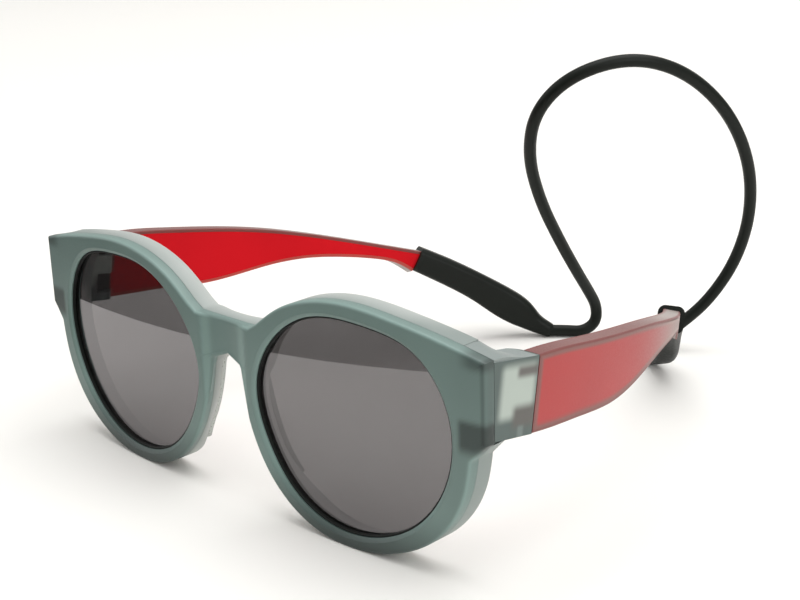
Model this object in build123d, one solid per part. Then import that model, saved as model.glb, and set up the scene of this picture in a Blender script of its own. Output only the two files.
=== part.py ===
# Fitover sunglasses: a two-layer front, two-layer temples on screwed hinges, and a moulded
# retaining strap between the temple tips.
# Millimetres. Final frame: +X to the wearer's left, +Y from the lenses back to the temple
# tips, +Z up, the table at z = 0, the origin under the middle of the unfolded glasses.
# The front is drawn upright in its own frame: x across, y back from the lens face at the
# bridge, z up from the lowest point of the rims. A temple is drawn in the frame of its hinge:
# x outwards, y back along the temple, z along the hinge axis. The wearer's left half is
# drawn and the right half is its mirror image.
import math
import os
from build123d import *

os.makedirs("parts", exist_ok=True)

# Openings of the front and the rims round them
OPENING_WIDTH = 55.4
OPENING_HEIGHT = 48.7
OPENING_GAP = 20.2           # between the two openings
RIM_CHEEK = 3.5              # rim beside the opening
RIM_FOOT = 3.5               # rim below it
RIM_TOP = 3.6                # rim above it
END_PIECE_WIDTH = 8.5        # from the opening to the side of the front
OPENING_OFFSET = (OPENING_GAP + OPENING_WIDTH) / 2
OPENING_MIDDLE = RIM_FOOT + OPENING_HEIGHT / 2
FRONT_WIDTH = OPENING_GAP + 2 * (OPENING_WIDTH + END_PIECE_WIDTH)
FRONT_HEIGHT = RIM_FOOT + OPENING_HEIGHT + RIM_TOP

# Bridge and end pieces, with heights above the middle of the openings
BRIDGE_RISE = 16.65
BRIDGE_HALF_WIDTH = 9.2
ARCH_RISE = 8.15             # top of the arch over the nose
END_PIECE_RISE = 4.85        # underside of the end piece
END_PIECE_CHAMFER = 1.2      # of its lower corner
WRAP_RADIUS = 593.0          # the front is a shallow upright cylinder of this radius
FOOT_FLAT = 0.25             # depth of the flats that touch the table

# Front, through its thickness
FACE_THICKNESS = 2.8
REAR_THICKNESS = 4.7
BRIDGE_DISH = 1.3            # hollow in the face of the bridge
BRIDGE_BACK_DISH = 0.9       # hollow in its back
BRIDGE_DISH_RADIUS = 26.0

# What is cut round the openings and what sits in them
BEVEL_DEPTH = 0.7            # bevel round the front of the opening, into the wall
BEVEL_WIDTH = 0.9            # and across the face
SEAL_DEPTH = 1.1
SEAL_WIDTH = 0.5
LENS_THICKNESS = 1.8
LENS_OVERLAP = 0.9           # how far the lens reaches under the rim
BOND_GAP = 0.03              # between pieces that are glued or pressed together

# Nose flanges
FLANGE_RISE = 6.15           # above the middle of the openings
FLANGE_FALL = 19.85          # below it
FLANGE_STAND = 1.9
FLANGE_MARGIN = 1.9          # the flange keeps this far from the opening
FLANGE_REACH = 11.9          # it ends this far round the opening's inner side

# Hinge, seen from its axis
HINGE_INSET = 3.6            # axis to the outer face of the temple
HINGE_BACK = 16.5            # axis to the lens face at the bridge
HINGE_RISE = 11.75           # above the middle of the openings
TEMPLE_TILT = 9.5            # degrees by which the temples fall towards the ears
HOUSING_TAIL = 3.65          # the housing reaches this far behind the axis
HOUSING_TOP = 8.4
HOUSING_UNDER = 8.1
HOUSING_DEPTH = 7.0          # from its outer face inwards
HOUSING_WALL = 1.2
HOUSING_ROOF = 1.8
CAVITY_FRONT = 7.5           # front of the hollow, ahead of the axis
TAIL_CLEARANCE = 0.25        # between the housing and the end of the temple
KNUCKLE_RADIUS = 2.0
KNUCKLE_UPPER = 2.5
KNUCKLE_MIDDLE = 4.8
KNUCKLE_LOWER = 4.6
KNUCKLE_GAP = 0.15
SCREW_RADIUS = 0.7
SCREW_HEAD_RADIUS = 1.25
SCREW_HEAD_HEIGHT = 0.9
SCREW_SLOT_WIDTH = 0.35
SCREW_SLOT_DEPTH = 0.4
SCREW_ROOF_DEPTH = 0.9       # end of the screw inside the roof
SCREW_SEAT_GAP = 0.02
SCREW_RUNNING_GAP = 0.05

# Temples
TEMPLE_THICKNESS = 4.4
TEMPLE_SKIN = 1.9            # frosted outer layer
TEMPLE_LIP = 0.9             # its rim round the red core
TEMPLE_REACH = 100.0         # length that the side outline covers, behind the axis
TEMPLE_HALF_HEIGHT = 9.2
BEND_START = 8.0
BEND_ANGLE = 33.0            # degrees
BEND_REST = 4.313            # the bend ends this far short of the reach
BEND_RADIUS = (TEMPLE_REACH - BEND_START - BEND_REST) / math.sin(math.radians(BEND_ANGLE))

# Sleeves over the temple tips, and the strap
SLEEVE_LENGTH = 43.2
SLEEVE_DROP = 19.8
SLEEVE_CURL = 3.8            # the end of the sleeve stands this far inside the temple's line
SLEEVE_THICKNESS = 7.2
SLEEVE_HEIGHT = 9.4
SLEEVE_ROUND = 2.0
NECK_ROUND_SHARE = 0.46      # of the width of the sleeve's end
SLEEVE_START_LIFT = 0.9      # middle of the sleeve's front end above the hinge
SLEEVE_SETBACK = 2.0         # the sleeve starts this far behind the end of the bend
SLEEVE_EXIT_TURN = 17.5      # degrees by which the sleeve's end turns inwards
SLEEVE_EXIT_RISE = 5.2       # degrees by which it turns up from the line of the temple
STRAP_DIAMETER = 3.4
STRAP_FIRST_RUN = 5.0        # the strap leaves the sleeve straight for this far
NECK_WALL = 0.45             # rubber of the sleeve's end round the strap
ARC_RUN_SHARE = 0.45         # of the shorter run that an arc of the strap takes up
CUT_OVERRUN = 2.0

# Outline of an opening: shares of half its width and half its height, from its middle
OPENING_SHARES = [
    (0.97, 0.38), (0.66, 0.86), (0.20, 0.985), (-0.32, 0.955), (-0.76, 0.66), (-1.0, 0.14),
    (-0.88, -0.41), (-0.58, -0.82), (-0.19, -1.0), (0.22, -0.975), (0.60, -0.77), (0.90, -0.36),
]
# Lower edge of a rim, from the nose round to the end piece: shares of half an opening's width
# with the rim beside it, and of half its height with the rim below it
RIM_LOWER_SHARES = [
    (-1.055, 0.210), (-0.967, -0.199), (-0.763, -0.629), (-0.398, -0.926), (0.012, -1.0),
    (0.416, -0.910), (0.795, -0.633), (0.994, -0.239), (1.037, 0.022),
]
# Upper edge of a rim, from the end piece in to the notch beside the bridge, and the height at
# which it leaves the side of the end piece: the same shares, with the rim above the opening
END_PIECE_TOP_SHARE = 0.796
RIM_UPPER_SHARES = [
    (0.942, 0.856), (0.423, 0.960), (0.022, 0.998), (-0.306, 0.954), (-0.619, 0.818),
    (-0.832, 0.651),
]
# Side outline of a temple: shares of its reach behind the hinge axis and of half its height
TEMPLE_UPPER_SHARES = [
    (0.08, 0.960), (0.24, 1.0), (0.40, 0.990), (0.53, 0.935), (0.70, 0.750), (0.88, 0.480),
    (1.02, 0.270),
]
TEMPLE_LOWER_SHARES = [
    (1.02, -0.800), (0.955, -0.400), (0.90, -0.060), (0.85, 0.050), (0.76, 0.092),
    (0.66, 0.055), (0.55, -0.150), (0.44, -0.470), (0.35, -0.670), (0.20, -0.770),
    (0.08, -0.860),
]
# Outline of the bare tip inside the sleeve, in the same shares
TIP_SHARES = [
    (0.88, 0.330), (0.97, 0.250), (1.06, -0.065), (1.22, -1.010), (1.24, -1.230),
    (1.225, -1.400), (1.06, -0.530), (0.97, -0.165), (0.88, 0.130),
]
# Sections of a sleeve: shares of its length, its drop and its curl, then shares of its
# greatest thickness and height
SLEEVE_SHARES = [
    (0.0, 0.0, 0.0, 0.97, 0.77), (0.23, 0.185, 0.0, 0.97, 0.83), (0.47, 0.41, 0.0, 1.0, 0.89),
    (0.67, 0.63, 0.06, 1.0, 0.98), (0.80, 0.775, 0.25, 0.94, 0.88), (0.90, 0.91, 0.55, 0.76, 0.60),
]
# Route of the strap behind its first straight run, point by point from each sleeve: the right
# part turns up close behind its sleeve and goes over the top of the loop
STRAP_RIGHT_ROUTE = [
    (-10.2, 76.2, 1.9), (-8.0, 79.8, 4.4), (-8.5, 80.6, 9.4), (-8.4, 76.2, 15.2),
    (-7.4, 68.6, 23.4), (-6.4, 58.8, 35.0), (-4.8, 47.8, 48.8), (-1.2, 37.8, 63.6),
    (5.6, 32.0, 77.2), (15.2, 34.4, 87.4), (25.8, 45.6, 91.8), (33.4, 59.4, 87.4),
    (38.2, 73.0, 76.0),
]
STRAP_LEFT_ROUTE = [
    (13.7, 80.4, 3.6), (17.9, 86.8, 7.8), (24.0, 92.0, 15.5), (30.4, 95.0, 28.0),
    (35.6, 92.8, 43.5), (38.6, 85.2, 60.3),
]


def sin_deg(angle):
    return math.sin(math.radians(angle))


def cos_deg(angle):
    return math.cos(math.radians(angle))


def back_prism(face, near, far):
    """Prism of a face drawn in x and z, from one depth behind the face of the front to another."""
    return extrude(Pos(0, near, 0) * face, amount=far - near, dir=(0, 1, 0))


def round_opening(shares, half_width, half_height):
    """Points about the middle of the left opening, at shares of two half sizes."""
    return [
        (OPENING_OFFSET + across * half_width, 0, OPENING_MIDDLE + up * half_height)
        for across, up in shares
    ]


def opening_prism(grow):
    """Prism through the front with the outline of the left opening, grown all round."""
    half_width = OPENING_WIDTH / 2 + grow
    half_height = OPENING_HEIGHT / 2 + grow
    points = round_opening(OPENING_SHARES, half_width, half_height)
    face = make_face(Spline(*points, periodic=True))
    return back_prism(face, -CUT_OVERRUN, HINGE_BACK)


def wrapped_slab(start, end):
    """Curved slab between two depths behind the face of the front."""
    reach = FRONT_WIDTH / 2 + CUT_OVERRUN

    def arc_points(depth):
        radius = WRAP_RADIUS - depth
        edge = WRAP_RADIUS - math.sqrt(radius**2 - reach**2)
        return (-reach, edge), (0, depth), (reach, edge)

    near = ThreePointArc(*arc_points(start))
    far = ThreePointArc(*arc_points(end))
    sides = Line(near @ 0, far @ 0) + Line(near @ 1, far @ 1)
    slab = extrude(make_face([near, far, *sides.edges()]), amount=FRONT_HEIGHT + 2 * CUT_OVERRUN)
    return Pos(0, 0, -CUT_OVERRUN) * slab


def half_front_outline():
    """Outline of the left half of the front."""
    half = FRONT_WIDTH / 2
    rim_half_width = OPENING_WIDTH / 2 + RIM_CHEEK
    top_half_height = OPENING_HEIGHT / 2 + RIM_TOP
    end_top = (half, 0, OPENING_MIDDLE + END_PIECE_TOP_SHARE * top_half_height)
    lower = round_opening(RIM_LOWER_SHARES, rim_half_width, OPENING_HEIGHT / 2 + RIM_FOOT)
    upper = round_opening(RIM_UPPER_SHARES, rim_half_width, top_half_height)
    rim_low = Spline(*lower)
    arch_top = (0, 0, OPENING_MIDDLE + ARCH_RISE)
    arch = Spline(arch_top, lower[0], tangents=[(1, 0, 0), rim_low % 0])
    end_low = OPENING_MIDDLE + END_PIECE_RISE
    chamfer_start = (half - END_PIECE_CHAMFER, 0, end_low - END_PIECE_CHAMFER)
    under_end = Polyline(lower[-1], chamfer_start, (half, 0, end_low), end_top)
    rim_top = Spline(end_top, *upper)
    bridge_top = OPENING_MIDDLE + BRIDGE_RISE
    bridge_corner = (BRIDGE_HALF_WIDTH, 0, bridge_top)
    bridge = Polyline(upper[-1], bridge_corner, (0, 0, bridge_top), arch_top)
    return make_face([arch, rim_low, *under_end.edges(), rim_top, *bridge.edges()])


def with_mirror(half):
    """A piece that crosses the middle of the front."""
    return half + mirror(half, about=Plane.YZ)


def on_left_hinge(piece):
    """Move a piece, or a place, from the hinge's own frame to the front's frame."""
    axis_x = FRONT_WIDTH / 2 - HINGE_INSET
    axis_z = OPENING_MIDDLE + HINGE_RISE
    return Pos(axis_x, HINGE_BACK, axis_z) * Rot(X=-TEMPLE_TILT) * piece


def block(x_span, y_span, z_span):
    """Box between two values on each axis."""
    size = [span[1] - span[0] for span in (x_span, y_span, z_span)]
    middle = [(span[0] + span[1]) / 2 for span in (x_span, y_span, z_span)]
    return Pos(*middle) * Box(*size)


def upright_cylinder(radius, z_span):
    """Cylinder on the hinge axis."""
    middle = (z_span[0] + z_span[1]) / 2
    return Pos(0, 0, middle) * Cylinder(radius, z_span[1] - z_span[0])


# Levels along the hinge axis, from the roof of the housing down
ROOF_LEVEL = HOUSING_TOP - HOUSING_ROOF
UPPER_SPAN = (ROOF_LEVEL - KNUCKLE_GAP - KNUCKLE_UPPER, ROOF_LEVEL - KNUCKLE_GAP)
MIDDLE_TOP = UPPER_SPAN[0] - KNUCKLE_GAP
MIDDLE_BOTTOM = MIDDLE_TOP - KNUCKLE_MIDDLE
LOWER_SPAN = (MIDDLE_BOTTOM - KNUCKLE_GAP - KNUCKLE_LOWER, MIDDLE_BOTTOM - KNUCKLE_GAP)
FLOOR_LEVEL = LOWER_SPAN[0] - KNUCKLE_GAP
TEMPLE_START = HOUSING_TAIL + TAIL_CLEARANCE


def bevelled(layer):
    """Half of the front layer with the front edge of its opening bevelled."""
    skin = layer.faces().sort_by(SortBy.AREA)[-1]
    rim = skin.inner_wires()[0].edges()
    return chamfer(rim, length=BEVEL_WIDTH, length2=BEVEL_DEPTH, reference=skin)


def housing_space():
    """What the rear layer leaves free for the left hinge housing, up past its roof."""
    across = (HINGE_INSET - HOUSING_DEPTH - BOND_GAP, HINGE_INSET + CUT_OVERRUN)
    along = (-HINGE_BACK - CUT_OVERRUN, HOUSING_TAIL)
    up = (-HOUSING_UNDER - BOND_GAP, HOUSING_TOP + END_PIECE_WIDTH)
    return on_left_hinge(block(across, along, up))


def make_front():
    """Front layer and rear layer, both with their openings and the groove for the lens."""
    outline = back_prism(half_front_outline(), -CUT_OVERRUN, HINGE_BACK)
    lens_front = BEVEL_DEPTH + SEAL_DEPTH
    groove_back = lens_front + LENS_THICKNESS + 2 * BOND_GAP
    rear_start = FACE_THICKNESS + BOND_GAP
    rear_end = FACE_THICKNESS + REAR_THICKNESS
    opening = opening_prism(0)
    groove = opening_prism(LENS_OVERLAP) & wrapped_slab(lens_front, groove_back)
    face = bevelled((outline & wrapped_slab(0, FACE_THICKNESS)) - opening - groove)
    rear = (outline & wrapped_slab(rear_start, rear_end)) - opening - groove - housing_space()
    dish_far = BRIDGE_DISH_RADIUS - BRIDGE_DISH
    tall = FRONT_HEIGHT + CUT_OVERRUN
    dish = Pos(0, -dish_far, tall / 2) * Cylinder(BRIDGE_DISH_RADIUS, tall)
    back_far = rear_end + BRIDGE_DISH_RADIUS - BRIDGE_BACK_DISH
    back_dish = Pos(0, back_far, tall / 2) * Cylinder(BRIDGE_DISH_RADIUS, tall)
    return with_mirror(face) - dish, with_mirror(rear) - back_dish


def make_seal():
    """Black ring that lines the opening in front of the lens."""
    ring = opening_prism(-BOND_GAP) - opening_prism(-SEAL_WIDTH)
    return ring & wrapped_slab(BEVEL_DEPTH, BEVEL_DEPTH + SEAL_DEPTH)


def make_lens():
    lens_front = BEVEL_DEPTH + SEAL_DEPTH + BOND_GAP
    slab = wrapped_slab(lens_front, lens_front + LENS_THICKNESS)
    return opening_prism(LENS_OVERLAP - BOND_GAP) & slab


def make_nose_flange():
    """Clear strip behind the rear layer, along the side of the nose."""
    start = FACE_THICKNESS + REAR_THICKNESS + BOND_GAP
    outline = back_prism(half_front_outline(), -CUT_OVERRUN, HINGE_BACK)
    strip = (outline & wrapped_slab(start, start + FLANGE_STAND)) - opening_prism(FLANGE_MARGIN)
    across = (0, OPENING_GAP / 2 + FLANGE_REACH)
    up = (OPENING_MIDDLE - FLANGE_FALL, OPENING_MIDDLE + FLANGE_RISE)
    return strip & block(across, (0, HINGE_BACK), up)


def make_housing():
    """Hollow box behind the end piece, with the middle knuckle and the screw's seat."""
    outer = HINGE_INSET
    inner = outer - HOUSING_DEPTH
    ahead = HINGE_BACK
    round_radius = HOUSING_TAIL + TAIL_CLEARANCE / 2
    box = block((inner, outer), (-ahead, HOUSING_TAIL), (-HOUSING_UNDER, HOUSING_TOP))
    corner = block((inner, 0), (0, HOUSING_TAIL), (-HOUSING_UNDER, HOUSING_TOP))
    rounded = corner & upright_cylinder(round_radius, (-HOUSING_UNDER, HOUSING_TOP))
    body = (box - corner) + rounded
    slot_front = KNUCKLE_RADIUS + KNUCKLE_GAP
    slot_far = (inner - CUT_OVERRUN, slot_front)
    for span in (UPPER_SPAN, LOWER_SPAN):
        level = (span[0] - KNUCKLE_GAP, span[1] + KNUCKLE_GAP)
        body -= block(slot_far, (-slot_front, HOUSING_TAIL + CUT_OVERRUN), level)
    cavity_x = (inner + HOUSING_WALL, outer - HOUSING_WALL)
    body -= block(cavity_x, (-CAVITY_FRONT, -slot_front), (FLOOR_LEVEL, ROOF_LEVEL))
    below = -HOUSING_UNDER - CUT_OVERRUN
    bore = (below, ROOF_LEVEL + SCREW_ROOF_DEPTH)
    head_bore = (below, -HOUSING_UNDER + SCREW_HEAD_HEIGHT)
    body -= upright_cylinder(SCREW_RADIUS + SCREW_SEAT_GAP, bore)
    body -= upright_cylinder(SCREW_HEAD_RADIUS + SCREW_SEAT_GAP, head_bore)
    placed = on_left_hinge(body)
    behind_face = wrapped_slab(FACE_THICKNESS + BOND_GAP, HINGE_BACK + HOUSING_TAIL + CUT_OVERRUN)
    return placed & behind_face


def make_screw():
    """Hinge screw, driven in from below."""
    head_top = -HOUSING_UNDER + SCREW_HEAD_HEIGHT - SCREW_SEAT_GAP
    tip = ROOF_LEVEL + SCREW_ROOF_DEPTH - SCREW_SEAT_GAP
    screw = upright_cylinder(SCREW_RADIUS, (-HOUSING_UNDER, tip))
    screw += upright_cylinder(SCREW_HEAD_RADIUS, (-HOUSING_UNDER, head_top))
    half_slot = SCREW_SLOT_WIDTH / 2
    across = (-SCREW_HEAD_RADIUS - CUT_OVERRUN, SCREW_HEAD_RADIUS + CUT_OVERRUN)
    up = (-HOUSING_UNDER - CUT_OVERRUN, -HOUSING_UNDER + SCREW_SLOT_DEPTH)
    slot = block(across, (-half_slot, half_slot), up)
    return on_left_hinge(screw - slot)


def bend_point(inset, angle, beyond):
    """Point of the temple's plan: inset from its outer face, at an angle of the bend."""
    radius = BEND_RADIUS - inset
    x = HINGE_INSET - BEND_RADIUS + radius * cos_deg(angle) - beyond * sin_deg(angle)
    y = BEND_START + radius * sin_deg(angle) + beyond * cos_deg(angle)
    return x, y


def temple_band(near, far):
    """Everything between two depths from the temple's outer face, seen from above."""
    edges = []
    ends = []
    for inset in (near, far):
        start = (HINGE_INSET - inset, TEMPLE_START)
        arc = [bend_point(inset, share * BEND_ANGLE, 0) for share in (0, 1 / 2, 1)]
        end = bend_point(inset, BEND_ANGLE, SLEEVE_LENGTH)
        edges += [Line(start, arc[0]), ThreePointArc(*arc), Line(arc[2], end)]
        ends.append((start, end))
    edges += [Line(ends[0][0], ends[1][0]), Line(ends[0][1], ends[1][1])]
    band = extrude(make_face(edges), amount=2 * (TEMPLE_HALF_HEIGHT + SLEEVE_DROP))
    return Pos(0, 0, -TEMPLE_HALF_HEIGHT - SLEEVE_DROP) * band


def side_prism(outline):
    """Prism across the temple of an outline drawn in y and z."""
    far = HINGE_INSET + CUT_OVERRUN
    return extrude(Pos(far, 0, 0) * outline, amount=FRONT_WIDTH / 2, dir=(-1, 0, 0))


def temple_outline(inset):
    """Side outline of a temple, inset all round."""
    upper = [(0, y * TEMPLE_REACH, z * TEMPLE_HALF_HEIGHT - inset) for y, z in TEMPLE_UPPER_SHARES]
    lower = [(0, y * TEMPLE_REACH, z * TEMPLE_HALF_HEIGHT + inset) for y, z in TEMPLE_LOWER_SHARES]
    front = TEMPLE_START + inset
    top_front = (0, front, HOUSING_TOP - inset)
    low_front = (0, front, -HOUSING_UNDER + inset)
    top = Spline(top_front, *upper)
    low = Spline(*lower, low_front)
    return make_face([top, low, Line(top_front, low_front), Line(upper[-1], lower[0])])


def tip_outline(grow):
    """Side outline of the bare tip, grown all round."""
    points = [(0, y * TEMPLE_REACH, z * TEMPLE_HALF_HEIGHT) for y, z in TIP_SHARES]
    outline = make_face(Polyline(*points, close=True))
    return offset(outline, amount=grow, kind=Kind.INTERSECTION) if grow else outline


def sleeve_point(share, drop, curl):
    """Middle of a sleeve at shares of its length, its drop and its curl."""
    beyond = SLEEVE_SETBACK + share * SLEEVE_LENGTH
    x, y = bend_point(TEMPLE_THICKNESS / 2 + curl * SLEEVE_CURL, BEND_ANGLE, beyond)
    return Vector(x, y, SLEEVE_START_LIFT - drop * SLEEVE_DROP)


def exit_direction():
    """Direction in which the strap leaves the sleeve."""
    flat = cos_deg(SLEEVE_EXIT_RISE)
    turn = BEND_ANGLE + SLEEVE_EXIT_TURN
    return Vector(-flat * sin_deg(turn), flat * cos_deg(turn), sin_deg(SLEEVE_EXIT_RISE))


def sleeve_planes():
    """Section planes of a sleeve, square to its middle line."""
    places = [sleeve_point(*row[:3]) for row in SLEEVE_SHARES]
    places.append(sleeve_point(1, 1, 1))
    planes = []
    for index, place in enumerate(places):
        if index == 0:
            along = places[1] - place
        elif index == len(places) - 1:
            along = exit_direction()
        else:
            along = places[index + 1] - places[index - 1]
        outward = Vector(along.Y, -along.X, 0)
        planes.append(Plane(origin=place, x_dir=outward, z_dir=along))
    return planes


def make_sleeve():
    """Soft sleeve over a temple tip, drawn in to a neck round the strap."""
    sections = []
    planes = sleeve_planes()
    for plane, row in zip(planes, SLEEVE_SHARES):
        width = row[3] * SLEEVE_THICKNESS
        height = row[4] * SLEEVE_HEIGHT
        sections.append(plane * RectangleRounded(width, height, SLEEVE_ROUND))
    neck = STRAP_DIAMETER + 2 * NECK_WALL
    sections.append(planes[-1] * RectangleRounded(neck, neck, NECK_ROUND_SHARE * neck))
    outer = loft(sections)
    bore_band = temple_band(TEMPLE_SKIN - BOND_GAP, TEMPLE_THICKNESS + BOND_GAP)
    bore = bore_band & side_prism(tip_outline(BOND_GAP))
    return on_left_hinge(outer - bore)


def beyond_sleeve_start():
    """Half space behind the front end of the sleeve."""
    plane = sleeve_planes()[0].offset(-BOND_GAP)
    return plane * (Pos(0, 0, SLEEVE_LENGTH) * Box(FRONT_WIDTH, FRONT_WIDTH, 2 * SLEEVE_LENGTH))


def make_temple():
    """Frosted skin with a rim, the red core that fills it, and the core's tip and knuckles."""
    behind = beyond_sleeve_start()
    whole = temple_band(0, TEMPLE_THICKNESS) & side_prism(temple_outline(0))
    pocket_band = temple_band(TEMPLE_SKIN, TEMPLE_THICKNESS + CUT_OVERRUN)
    skin = whole - (pocket_band & side_prism(temple_outline(TEMPLE_LIP))) - behind
    core_band = temple_band(TEMPLE_SKIN + BOND_GAP, TEMPLE_THICKNESS)
    core = (core_band & side_prism(temple_outline(TEMPLE_LIP + BOND_GAP))) - behind
    core += core_band & side_prism(tip_outline(0))
    root = TEMPLE_START + 2 * TEMPLE_LIP
    arm_x = (HINGE_INSET - TEMPLE_THICKNESS, HINGE_INSET - TEMPLE_SKIN - BOND_GAP)
    notch_x = (arm_x[0], HINGE_INSET - TEMPLE_SKIN)
    for low, high in (UPPER_SPAN, LOWER_SPAN):
        core += upright_cylinder(KNUCKLE_RADIUS, (low, high))
        core += block(arm_x, (0, root), (low, high))
        skin -= block(notch_x, (0, root), (low - BOND_GAP, high + BOND_GAP))
    hole = (-HOUSING_UNDER - CUT_OVERRUN, HOUSING_TOP + CUT_OVERRUN)
    core -= upright_cylinder(SCREW_RADIUS + SCREW_RUNNING_GAP, hole)
    return on_left_hinge(skin), on_left_hinge(core)


def resting_place(nodes):
    """Lean and shift that put the rims and the ends of the sleeves on the table."""
    rim = nodes["front_rear_layer"].bounding_box()
    sleeve = nodes["strap_sleeve_left"].bounding_box()
    lean = math.degrees(math.atan2(rim.min.Z - sleeve.min.Z, sleeve.max.Y))
    turned = [Rot(X=lean) * piece for piece in nodes.values()]
    box = Compound(children=turned).bounding_box()
    return Pos(0, -(box.min.Y + box.max.Y) / 2, -box.min.Z - FOOT_FLAT) * Rot(X=lean)


def stand_on_table(nodes):
    """The glasses as they stand, with flats where they touch the table."""
    place = resting_place(nodes)
    below = Pos(0, 0, -FRONT_HEIGHT) * Box(2 * FRONT_WIDTH, 2 * FRONT_WIDTH, 2 * FRONT_HEIGHT)
    placed = {}
    for name, piece in nodes.items():
        standing = place * piece
        if standing.bounding_box().min.Z < 0:
            standing -= below
        placed[name] = standing
    left_exit = Plane(place * on_left_hinge(Location(sleeve_planes()[-1])))
    left_start = left_exit.origin
    left_way = left_exit.z_dir
    right_start = Vector(-left_start.X, left_start.Y, left_start.Z)
    right_way = Vector(-left_way.X, left_way.Y, left_way.Z)
    middle = (Vector(*STRAP_RIGHT_ROUTE[-1]) + Vector(*STRAP_LEFT_ROUTE[-1])) / 2
    placed["strap_cord_left"] = strap_half(left_start, left_way, STRAP_LEFT_ROUTE, middle)
    placed["strap_cord_right"] = strap_half(right_start, right_way, STRAP_RIGHT_ROUTE, middle)
    return placed


def strap_half(start, direction, route, middle):
    """Half of the strap: straight runs joined by arcs as large as the runs allow."""
    points = [start, start + direction * STRAP_FIRST_RUN, *[Vector(*p) for p in route], middle]
    radii = []
    for before, point, after in zip(points, points[1:], points[2:]):
        run_in = point - before
        run_out = after - point
        shorter = min(run_in.length, run_out.length)
        turn = math.radians(run_in.get_angle(run_out))
        radii.append(ARC_RUN_SHARE * shorter / math.tan(turn / 2))
    path = FilletPolyline(*points, radius=radii)
    section = Plane(origin=start, z_dir=direction) * Circle(STRAP_DIAMETER / 2)
    tube = sweep(section, path=path)
    expected = math.pi * (STRAP_DIAMETER / 2) ** 2 * path.length
    print("strap points", [tuple(round(c, 2) for c in point) for point in points])
    print("strap radii", [round(radius, 1) for radius in radii], "length", round(path.length, 1))
    print("strap volume", round(tube.volume, 1), "section times length", round(expected, 1))
    return tube


def main():
    face, rear = make_front()
    skin, core = make_temple()
    sided = {
        "lens": make_lens(),
        "lens_seal": make_seal(),
        "nose_flange": make_nose_flange(),
        "hinge_housing": make_housing(),
        "hinge_screw": make_screw(),
        "temple_skin": skin,
        "temple_core": core,
        "strap_sleeve": make_sleeve(),
    }
    nodes = {"front_face_layer": face, "front_rear_layer": rear}
    for name, piece in sided.items():
        nodes[name + "_left"] = piece
        nodes[name + "_right"] = mirror(piece, about=Plane.YZ)
    placed = stand_on_table(nodes)
    for name, piece in placed.items():
        print(name, round(piece.volume, 1), len(piece.solids()), piece.is_valid)
        export_step(piece, f"parts/{name}.step")


main()
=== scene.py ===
# %% [markdown]
# # Fitover sunglasses, piece by piece
#
# These sunglasses are worn over ordinary glasses. Their front is two layers of frosted plastic,
# each temple is a red core in a frosted skin, and a silicone strap joins the temple tips.
# The CAD model gives the frame of reference and the places. This file gives each visible piece
# its final surface and its finish. Lengths are in millimetres until a mesh is made, in metres.

import math

import bpy
import numpy as np
from mathutils import Matrix, Vector


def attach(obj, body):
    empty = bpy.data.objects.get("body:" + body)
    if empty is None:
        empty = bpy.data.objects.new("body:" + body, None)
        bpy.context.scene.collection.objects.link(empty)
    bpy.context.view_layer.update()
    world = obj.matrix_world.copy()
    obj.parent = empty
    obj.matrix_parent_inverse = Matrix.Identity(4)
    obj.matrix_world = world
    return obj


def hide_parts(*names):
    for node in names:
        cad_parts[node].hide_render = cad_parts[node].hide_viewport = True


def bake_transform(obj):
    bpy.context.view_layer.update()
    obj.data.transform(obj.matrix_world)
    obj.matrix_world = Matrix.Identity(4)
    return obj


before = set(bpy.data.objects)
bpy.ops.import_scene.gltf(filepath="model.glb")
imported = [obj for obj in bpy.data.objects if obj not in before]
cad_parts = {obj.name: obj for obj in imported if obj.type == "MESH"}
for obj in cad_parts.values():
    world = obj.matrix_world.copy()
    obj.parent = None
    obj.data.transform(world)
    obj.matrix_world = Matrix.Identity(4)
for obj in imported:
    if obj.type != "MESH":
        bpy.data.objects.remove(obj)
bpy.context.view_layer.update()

# %% [markdown]
# ## From drawing to place
#
# The front is drawn upright: x across, y back, z up from the lowest point of the rims. On the
# table the glasses lean back a little, because the temple tips are lower than the rims. A temple
# is drawn along its hinge: v outwards, u back along the temple, w along the hinge axis. So two
# small functions carry every point to the table, and the right side is the left side mirrored.

# %% Places
LEAN = math.radians(1.07777)
TABLE_SHIFT = np.array([0.0, -71.3933, -0.2026])
OPENING_WIDTH, OPENING_HEIGHT, OPENING_GAP = 55.4, 48.7, 20.2
RIM_CHEEK, RIM_FOOT, RIM_TOP, END_PIECE_WIDTH = 3.5, 3.5, 3.6, 8.5
OPENING_OFFSET = (OPENING_GAP + OPENING_WIDTH) / 2
OPENING_MIDDLE = RIM_FOOT + OPENING_HEIGHT / 2
HALF_FRONT = OPENING_GAP / 2 + OPENING_WIDTH + END_PIECE_WIDTH
HINGE_INSET, HINGE_BACK, HINGE_RISE = 3.6, 16.5, 11.75
TEMPLE_TILT = math.radians(9.5)


def stand(points):
    """Points of the upright front, leaned back about x and shifted onto the table."""
    x, y, z = np.moveaxis(np.asarray(points, float), -1, 0)
    turned = np.stack([x, y * math.cos(LEAN) - z * math.sin(LEAN),
                       y * math.sin(LEAN) + z * math.cos(LEAN)], -1)
    return turned + TABLE_SHIFT


def stand_on_hinge(points):
    """Points (v, u, w) of the left hinge: turned down about x by the tilt, then stood up."""
    v, u, w = np.moveaxis(np.asarray(points, float), -1, 0)
    x = HALF_FRONT - HINGE_INSET + v
    y = HINGE_BACK + u * math.cos(TEMPLE_TILT) + w * math.sin(TEMPLE_TILT)
    z = OPENING_MIDDLE + HINGE_RISE - u * math.sin(TEMPLE_TILT) + w * math.cos(TEMPLE_TILT)
    return stand(np.stack([x, y, z], -1))


print("left hinge axis at", np.round(stand_on_hinge([0, 0, 0]), 2), "mm")

# %% [markdown]
# ## Building with nodes
#
# Materials and the world's light are graphs of nodes. Most functions here add a node and return
# its output, so that a graph reads like a formula.

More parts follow.
